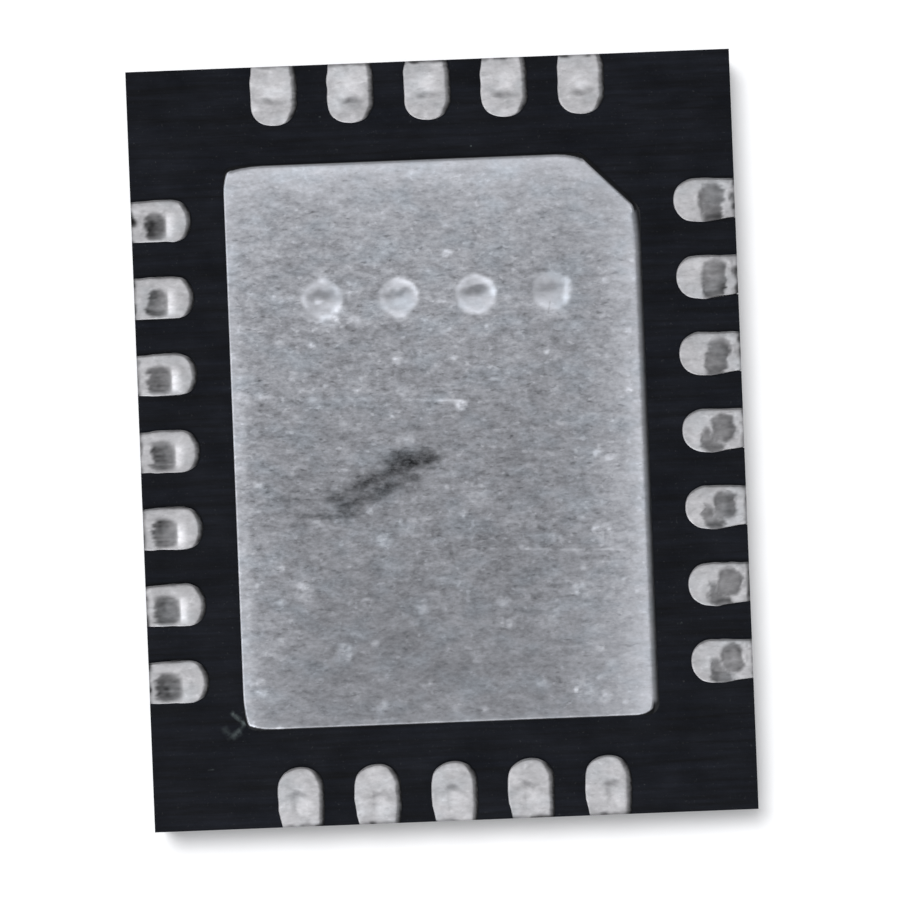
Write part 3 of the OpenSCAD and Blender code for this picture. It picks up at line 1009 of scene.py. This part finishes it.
def land_tone(u, v, mark, side, length, seed):
    """Tone of a land's plating with its contact mark and that mark's painted shade and highlights, worn near
    the saw cut.
    """
    cut = u / length + 0.03 * noise(u, v, 0.05, 0.04, seed + 70)
    patches = smooth(0.0, 0.5, noise(u, v, 0.05, 0.05, seed + 71))
    worn = 0.5 * smooth(0.07, 0.01, cut) + 0.4 * smooth(0.10, 0.0, cut) * patches
    blotch = 0.10 * noise(u, v, 0.09, 0.07, seed + 90) + 0.06 * noise(u, v, 0.03, 0.03, seed + 91)
    return linear(LAND_LEVEL[side]) * (1 + mark + blotch) * (1 - worn)


def lead_faces(rings, columns):
    """Faces between a lead's rings of points, and its sawn end as the last face."""
    faces = [tuple(reversed(face)) for face in grid_faces(rings, columns)]
    left = list(range(0, rings * columns, columns))
    right = [k + columns - 1 for k in left]
    faces.append(tuple(reversed(left + right[-2:0:-1])))
    return faces


def make_lead(name, tin, copper):
    """One lead: a plated land with its contact mark, sides, undercut lip and sawn outer end."""
    land = points_above(name, WALL_Z)
    low = land.min(0)
    high = land.max(0)
    side = lead_side(low, high)
    inward = SIDES[side]
    across = np.array([-inward[1], inward[0]])
    size = np.abs((high - low)[:2])
    cad_length = float(abs(size @ inward))
    length = cad_length * REACH[side]
    half = float(abs(size @ across)) / 2
    start = (low + high)[:2] / 2 - inward * cad_length / 2
    number = int(name.split("_")[1])
    seed = 100 + number

    u0, v0, nu, nv = lead_path(half, length, TIP_POWER[side])
    facing_x, facing_y = (np.outer(inward, nu) + np.outer(across, nv)) / np.hypot(nu, nv)
    share = softness(facing_x, facing_y, LAND_SOFT_FACING, LAND_TOP_SHARE)
    # Painted highlight along the lands' rims, which turns to painted shade on the edges that face down
    rim = LAND_RIM_HIGHLIGHT + (LAND_LOW_SHADE - LAND_RIM_HIGHLIGHT) * smooth(0.2, 0.9, -facing_y)
    wobble = 0.004 * noise(u0 * 9, v0 * 9, 0.5, 0.5, seed)
    rings = []
    tones = []
    for d in reversed((*RING_STEPS, half)):
        u = u0 - nu * d
        v = v0 - nv * d
        edge = smooth(0.05, 0.0, d)
        v = necked(u, v, side, half, length) + nv * wobble * edge
        mark, relief = MARKS_AND_SHADING[side](u / length, v / half, number, np.random.default_rng(seed))
        wave = 0.0008 * noise(u, v, 0.10, 0.08, seed + 50)
        ragged = 0.004 * noise(u, v, 0.012, 0.012, seed + 30) * share
        drop = edge_drop(d + ragged, share, LAND_SOFT_EDGE)
        z = PLATE_Z - drop + np.minimum((relief + wave) * (1 - edge), RELIEF_ROOM)
        rings.append(np.column_stack([u, v, z]))
        tone = land_tone(u, v, mark, side, length, seed)
        tones.append(tone * edge_tone(d + ragged, share, LAND_SOFT_EDGE, rim))
    lip = LEAD_LIP * smooth(LIP_SETBACK - 0.02, LIP_SETBACK + 0.02, u0)
    outer = rings[-1][:, :2]
    wide = outer + lip[:, None] * np.column_stack([nu, nv])
    lower = [at_height(outer, LIP_Z), at_height(wide, LIP_Z), at_height(wide, FRAME_Z)]
    lower.append(at_height(rings[0], FRAME_Z))
    rings += lower
    tones += [np.full(len(u0), SIDE_TONE)] * len(lower)

    local = np.concatenate(rings)
    flat = start + local[:, :1] * inward + local[:, 1:2] * across
    points = np.column_stack([flat, local[:, 2]])
    faces = lead_faces(len(rings), len(u0))
    face_materials = [0] * (len(faces) - 1) + [1]
    attributes = {
        "tone": np.concatenate(tones),
        "grain": np.full(len(points), LAND_GRAIN),
        "rough": np.full(len(points), LAND_ROUGH),
    }
    piece_name = name.replace("lead", "tinned_lead")
    piece = make_piece(piece_name, points, faces, [tin, copper], face_materials, attributes)
    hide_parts(name)


# Light, floor and camera

IMAGE_SIZE = 900
PIXELS_PER_MM = 153.7
TURN = math.radians(2.25)
# Pixel of the package's middle, from the image's upper left corner
MIDDLE_PIXEL = (441.9, 440.6)
LENS = 200.0
SENSOR = 36.0
# Nearest and farthest distance that the camera sees, in metres
CLIP = (0.001, 10)
# Upward parts of a direction between which the room's bright walls fade to its dim ceiling
WALL_FADE = (0.60, 0.85)
FLOOR_HALF = 400.0
FLOOR_GAP = 0.001
FLOOR_GLOW = 0.21
# The floor's own lamp: the way it comes from, its width and its strength
LAMP_FROM = Vector((-0.128, 0.196, 1.0))
LAMP_ANGLE = math.radians(13.6)
LAMP_ENERGY = 2.40


def make_camera():
    """A camera straight above the package, turned so that the package leans a little to the left."""
    width = IMAGE_SIZE / PIXELS_PER_MM
    height = MOULD_Z + width * LENS / SENSOR
    right = np.array([math.cos(TURN), -math.sin(TURN)])
    up = np.array([math.sin(TURN), math.cos(TURN)])
    aside = (IMAGE_SIZE / 2 - MIDDLE_PIXEL[0]) / PIXELS_PER_MM
    below = (IMAGE_SIZE / 2 - MIDDLE_PIXEL[1]) / PIXELS_PER_MM
    x, y = right * aside - up * below
    data = bpy.data.cameras.new("camera")
    data.lens = LENS
    data.sensor_width = SENSOR
    data.clip_start, data.clip_end = CLIP
    camera = add_object("camera", data)
    camera.location = Vector((x, y, height)) * MM
    camera.rotation_euler = (0, 0, -TURN)
    bpy.context.scene.camera = camera


def make_panel(name, azimuth, elevation, distance, size, radiance):
    """A square soft light that faces the package. Azimuth 0 is +X and 90 is +Y."""
    data = bpy.data.lights.new(name, "AREA")
    data.shape = "SQUARE"
    data.size = size * MM
    data.energy = radiance * math.pi * (size * MM) ** 2
    a = math.radians(azimuth)
    e = math.radians(elevation)
    direction = Vector((math.cos(a) * math.cos(e), math.sin(a) * math.cos(e), math.sin(e)))
    panel = add_object(name, data)
    panel.location = direction * distance * MM
    panel.rotation_euler = direction.to_track_quat("Z", "Y").to_euler()
    panel.visible_camera = False
    return panel


def make_world(overhead, walls):
    """A white room: dim overhead, where the panels hang, and bright walls."""
    world = bpy.data.worlds.new("studio")
    world.use_nodes = True
    tree = world.node_tree
    background = tree.nodes["Background"]
    background.inputs["Color"].default_value = (1, 1, 1, 1)
    place = tree.nodes.new("ShaderNodeTexCoord")
    split = tree.nodes.new("ShaderNodeSeparateXYZ")
    fade = tree.nodes.new("ShaderNodeMapRange")
    fade.interpolation_type = "SMOOTHSTEP"
    limits = (*WALL_FADE, walls, overhead)
    for key, value in zip(("From Min", "From Max", "To Min", "To Max"), limits):
        fade.inputs[key].default_value = value
    tree.links.new(place.outputs["Generated"], split.inputs[0])
    tree.links.new(split.outputs["Z"], fade.inputs["Value"])
    tree.links.new(fade.outputs["Result"], background.inputs["Strength"])
    bpy.context.scene.world = world


def make_floor():
    """A white floor that glows a little where it is seen."""
    outline = FLOOR_HALF * np.array([(-1, -1), (1, -1), (1, 1), (-1, 1)])
    mesh = bpy.data.meshes.new("floor")
    points = at_height(outline, BODY_LOW[2] - FLOOR_GAP)
    mesh.from_pydata((points * MM).tolist(), [], [(0, 1, 2, 3)])
    paper = Surface("floor_paper")
    cloud = paper.noise((0.2, 0.2, 0.2), detail=2)
    paper.set(Base_Color=paper.blend(cloud, (0.855, 0.86, 0.875, 1), (0.875, 0.88, 0.895, 1)), Roughness=0.9)
    paper.set(Specular_IOR_Level=0.1, Emission_Color=(0.97, 0.98, 1.0, 1))
    rays = paper.add("ShaderNodeLightPath").outputs
    seen = paper.math("MAXIMUM", rays["Is Camera Ray"], rays["Is Glossy Ray"])
    seen = paper.math("MAXIMUM", seen, rays["Is Transmission Ray"])
    paper.set(Emission_Strength=paper.math("MULTIPLY", seen, FLOOR_GLOW))
    mesh.materials.append(paper.material)
    floor = add_object("floor", mesh)
    return floor


def make_floor_lamp(floor, panels):
    """A lamp for the floor alone, which draws the package's short shadow instead of the panels."""
    data = bpy.data.lights.new("floor_lamp", "SUN")
    data.angle = LAMP_ANGLE
    data.energy = LAMP_ENERGY
    lamp = add_object("floor_lamp", data)
    lamp.rotation_euler = LAMP_FROM.to_track_quat("Z", "Y").to_euler()
    lit = bpy.data.collections.new("lit_by_floor_lamp")
    lit.objects.link(floor)
    lamp.light_linking.receiver_collection = lit
    left_out = bpy.data.collections.new("not_lit_by_panels")
    left_out.objects.link(floor)
    left_out.collection_objects[0].light_linking.link_state = "EXCLUDE"
    for panel in panels:
        panel.light_linking.receiver_collection = left_out


# Colours of the plating: its warmer and its cooler parts
PAD_TINTS = ((0.955, 0.979, 1.060, 1), (0.928, 0.988, 1.088, 1))
LAND_TINTS = ((0.990, 0.985, 1.025, 1), (0.970, 0.990, 1.040, 1))


def make_inner_finishes():
    """Materials of the CAD nodes that stay: the mould and what lies inside it."""
    silicon = plain_surface("silicon", (0.07, 0.08, 0.10, 1), (0.10, 0.11, 0.13, 1), 0.4, 0.25, 6)
    silver = plain_surface("silver_adhesive", (0.40, 0.40, 0.39, 1), (0.52, 0.52, 0.50, 1), 0.5, 0.5, 18)
    gold = plain_surface("bond_gold", (0.78, 0.52, 0.20, 1), (0.90, 0.64, 0.28, 1), 1.0, 0.2, 60)
    finishes = {"mould_body": mould_material(), "die": silicon, "die_attach": silver}
    finishes.update({name: gold for name in WIRE_NAMES})
    for name, material in finishes.items():
        NODES[name].data.materials.clear()
        NODES[name].data.materials.append(material)


def main():
    make_camera()
    make_world(overhead=0.15, walls=0.50)
    ceiling = make_panel("ceiling_panel", azimuth=225, elevation=82, distance=160, size=160, radiance=1.12)
    low = make_panel("low_panel", azimuth=248, elevation=42, distance=150, size=110, radiance=2.6)
    floor = make_floor()
    make_floor_lamp(floor, (ceiling, low))
    bpy.context.scene.view_settings.view_transform = "Standard"

    tin_pad = tin_material("tin_plate_pad", *PAD_TINTS, SCRATCHES)
    tin_land = tin_material("tin_plate_land", *LAND_TINTS)
    copper = copper_material()
    make_pad(tin_pad, copper)
    for name in LEAD_NAMES:
        make_lead(name, tin_land, copper)
    make_inner_finishes()


main()
